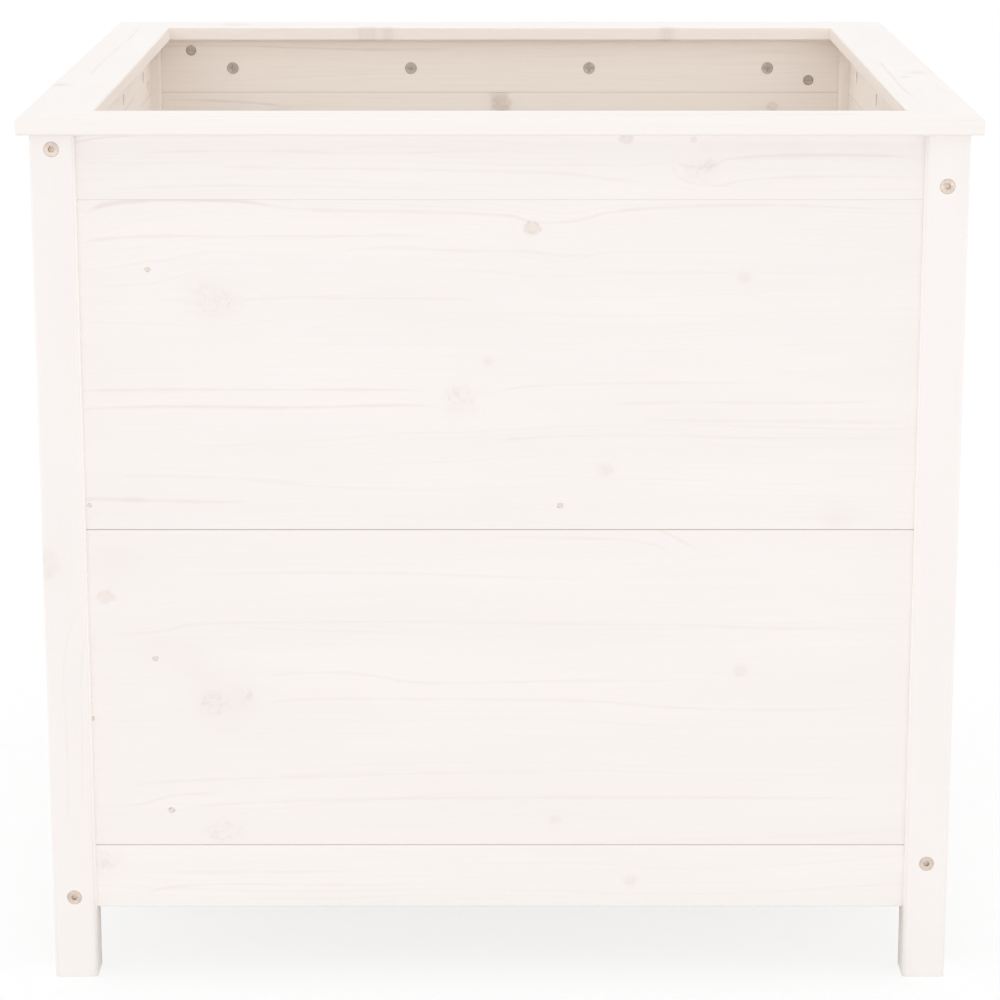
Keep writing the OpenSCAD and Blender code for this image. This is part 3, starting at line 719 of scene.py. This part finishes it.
def random_knots(rng, name, axes, count):
    """Knots of random kinds, places and sizes on a board."""
    (along_low, along_high), (across_low, across_high) = face_range(name, axes)
    knots = []
    for _ in range(count):
        kind, smallest, largest = rng.choice(RANDOM_KNOTS)
        along = rng.uniform(along_low + END_MARGIN, along_high - END_MARGIN)
        across = rng.uniform(across_low + EDGE_MARGIN, across_high - EDGE_MARGIN)
        radius = min(rng.uniform(smallest, largest), 0.3 * (across_high - across_low))
        knots.append(Knot(round(along), round(across), round(radius, 1), kind))
    return knots


def random_streaks(rng, name, axes, count):
    """Streaks of random places, lengths and bends on a board."""
    (along_low, along_high), (across_low, across_high) = face_range(name, axes)
    bend = min(7.0, 0.06 * (across_high - across_low))
    streaks = []
    for _ in range(count):
        length = rng.uniform(0.3, 0.9) * (along_high - along_low)
        first = rng.uniform(along_low, along_high - length)
        level = rng.uniform(across_low + EDGE_MARGIN, across_high - EDGE_MARGIN)
        points = []
        for step in range(STREAK_STEPS + 1):
            points.append((round(first + length * step / STREAK_STEPS), round(level, 1)))
            level += rng.uniform(-bend, bend)
        strength = round(rng.uniform(0.35, 0.85), 2)
        streaks.append(Streak(strength, STREAK_WIDTH, 3 * bend, points))
    return streaks


def dress_board(name, finish):
    """Gives one board its own pine, with its own knots and streaks or random ones."""
    axes = grain_axes(name)
    rng = random.Random("board " + name)
    (along_low, along_high), (across_low, across_high) = face_range(name, axes)
    area = (along_high - along_low) * (across_high - across_low) * MM * MM
    knots = random_knots(rng, name, axes, round(area / KNOT_AREA + rng.uniform(-0.4, 0.6)))
    streaks = random_streaks(rng, name, axes, round(area / STREAK_AREA + rng.uniform(0.0, 0.9)))
    is_wall = "rail_" in name or "panel_" in name
    is_rim = name.startswith("rim_board_")
    is_front = "_front" in name and not name.startswith(("rim_board_", "bearer_"))
    if is_front:
        knots, streaks = [], []
    elif is_rim:
        knots = [knot for knot in knots if knot.kind in ("pale", "swirl")]
    else:
        knots = knots[:MOST_RANDOM_KNOTS.get(name)]
    knots = OWN_KNOTS.get(name, []) + knots
    streaks = OWN_STREAKS.get(name, []) + streaks
    joints = (FRONT_JOINTS if is_front else WALL_JOINTS) if is_wall else []
    is_outer = is_wall or is_rim or name.startswith("post_")
    shades = board_shades(name, axes, finish) if is_outer else []
    put_on(name, pine("pine_" + name, finish, axes, knots, streaks, joints, shades))


def put_on(name, material):
    """Puts the material on a node in place of what it was packed with."""
    mesh = NODES[name].data
    mesh.materials.clear()
    mesh.materials.append(material)


# How near two points count as one, the angle up to which faces are joined, the angle from which
# an edge is rounded, and in how many steps
SAME_POINT = 0.01 * MM
FLAT_ANGLE = math.radians(0.5)
SHARP_ANGLE = math.radians(50)
EDGE_SEGMENTS = 2
# The beginnings of the boards' names, their finish and the rounding of their edges in metres
BOARD_LOOKS = [
    (("top_rail_", "upper_panel_", "lower_panel_"), PAINTED, 0.5 * MM),
    ("bottom_rail_", LOW_RAIL_PAINT_AND_LIGHT, 0.5 * MM),
    ("post_", POST_PAINT, 0.3 * MM),
    ("rim_board_", RIM_PAINT_AND_LIGHT, 0.5 * MM),
    (("floor_b", "bearer_"), THIN_WASH, 0.8 * MM),
]
FITTING_ROUNDING = 0.15 * MM


def soften_edges(name, width):
    """Rounds a node's sharp edges by width metres, after joining its flat faces."""
    node = NODES[name]
    node.modifiers.new("join_points", "WELD").merge_threshold = SAME_POINT
    flat = node.modifiers.new("join_faces", "DECIMATE")
    flat.decimate_type = "DISSOLVE"
    flat.angle_limit = FLAT_ANGLE
    bevel = node.modifiers.new("round_edges", "BEVEL")
    bevel.width = width
    bevel.segments = EDGE_SEGMENTS
    bevel.limit_method = "ANGLE"
    bevel.angle_limit = SHARP_ANGLE
    bevel.harden_normals = True


def dress_boards():
    """Gives every board its finish and rounds its edges."""
    for name in NODES:
        for beginnings, finish, rounding in BOARD_LOOKS:
            if name.startswith(beginnings):
                dress_board(name, finish)
                soften_edges(name, rounding)


def dress_fittings():
    """Gives bolts, nuts, cams, pins, screws and dowels their materials."""
    nickel = plated_metal("nickel", srgb(228, 214, 203), srgb(214, 200, 188), 0.5, 0.62, 4.0)
    dark_zinc = plated_metal("dark_zinc", srgb(197, 188, 180), srgb(187, 178, 170), 0.46, 0.62, 3.0)
    zinc = plated_metal("zinc", srgb(206, 208, 208), srgb(186, 188, 190), 0.3, 0.5, 2.0)
    dowel = beech("beech")
    finishes = {
        "corner_bolts": nickel, "barrel_nuts": dark_zinc, "rim_cams": dark_zinc, "rim_pins": zinc,
        "batten_screws": zinc, "cleat_screws": zinc, "floor_screws": zinc,
        "wall_dowels": dowel, "mitre_dowels": dowel,
    }
    for name, material in finishes.items():
        put_on(name, material)
        soften_edges(name, FITTING_ROUNDING)


# ---------------------------------------------------------------- stage, light, camera

def plain_view(sheet):
    """1 for what the camera sees straight, in a reflection or through glass."""
    path = sheet.node("ShaderNodeLightPath", {}).outputs
    seen = sheet.math("ADD", path["Is Camera Ray"], path["Is Glossy Ray"])
    return sheet.math("ADD", seen, path["Is Transmission Ray"], clamp=True)


def make_floor():
    """A white floor that keeps a soft shadow of the planter."""
    half = FLOOR_SIZE / 2
    mesh = bpy.data.meshes.new("floor")
    corners = [(-half, -half, 0), (half, -half, 0), (half, half, 0), (-half, half, 0)]
    mesh.from_pydata(corners, [], [(0, 1, 2, 3)])
    floor = bpy.data.objects.new("floor", mesh)
    floor.location.z = -FLOOR_DROP
    bpy.context.scene.collection.objects.link(floor)
    material = bpy.data.materials.new("floor")
    sheet = empty_sheet(material)
    shaded = sheet.node("ShaderNodeBsdfDiffuse", {"Color": WHITE}).outputs[0]
    plain = sheet.node("ShaderNodeEmission", {"Color": WHITE, "Strength": 1.0}).outputs[0]
    seen = sheet.mix_surfaces(SHADOW_SHARE, plain, shaded)
    bounce = sheet.node("ShaderNodeBsdfDiffuse", {"Color": (FLOOR_BOUNCE,) * 3 + (1,)}).outputs[0]
    surface = sheet.mix_surfaces(plain_view(sheet), bounce, seen)
    sheet.node("ShaderNodeOutputMaterial", {"Surface": surface})
    mesh.materials.append(material)


def make_dome():
    """An even pale sky, plain white where it is seen."""
    world = bpy.data.worlds.new("dome")
    bpy.context.scene.world = world
    sheet = empty_sheet(world)
    light, plain = (
        sheet.node("ShaderNodeBackground", {"Color": WHITE, "Strength": strength}).outputs[0]
        for strength in (DOME_STRENGTH, 1.0)
    )
    surface = sheet.mix_surfaces(plain_view(sheet), light, plain)
    sheet.node("ShaderNodeOutputWorld", {"Surface": surface})


def make_lamp(name, lamp):
    """A far wide lamp."""
    light = bpy.data.lights.new(name, "SUN")
    light.energy = lamp.strength * math.pi
    light.angle = math.radians(lamp.softness)
    holder = bpy.data.objects.new(name, light)
    turn, height = math.radians(lamp.turn), math.radians(lamp.height)
    towards = Vector((
        math.sin(turn) * math.cos(height),
        -math.cos(turn) * math.cos(height),
        math.sin(height),
    ))
    holder.rotation_euler = towards.to_track_quat("Z", "Y").to_euler()
    bpy.context.scene.collection.objects.link(holder)


def make_camera():
    data = bpy.data.cameras.new("camera")
    data.sensor_width = SENSOR_MM
    data.lens = LENS_MM
    camera = bpy.data.objects.new("camera", data)
    camera.location = (0, -CAMERA_AWAY, CAMERA_HEIGHT)
    camera.rotation_euler = (math.radians(90) - CAMERA_PITCH, 0, 0)
    bpy.context.scene.collection.objects.link(camera)
    bpy.context.scene.camera = camera


make_camera()
make_floor()
make_dome()
for lamp_name, lamp in LAMPS.items():
    make_lamp(lamp_name, lamp)
dress_boards()
dress_fittings()
bpy.context.scene.view_settings.view_transform = "Standard"
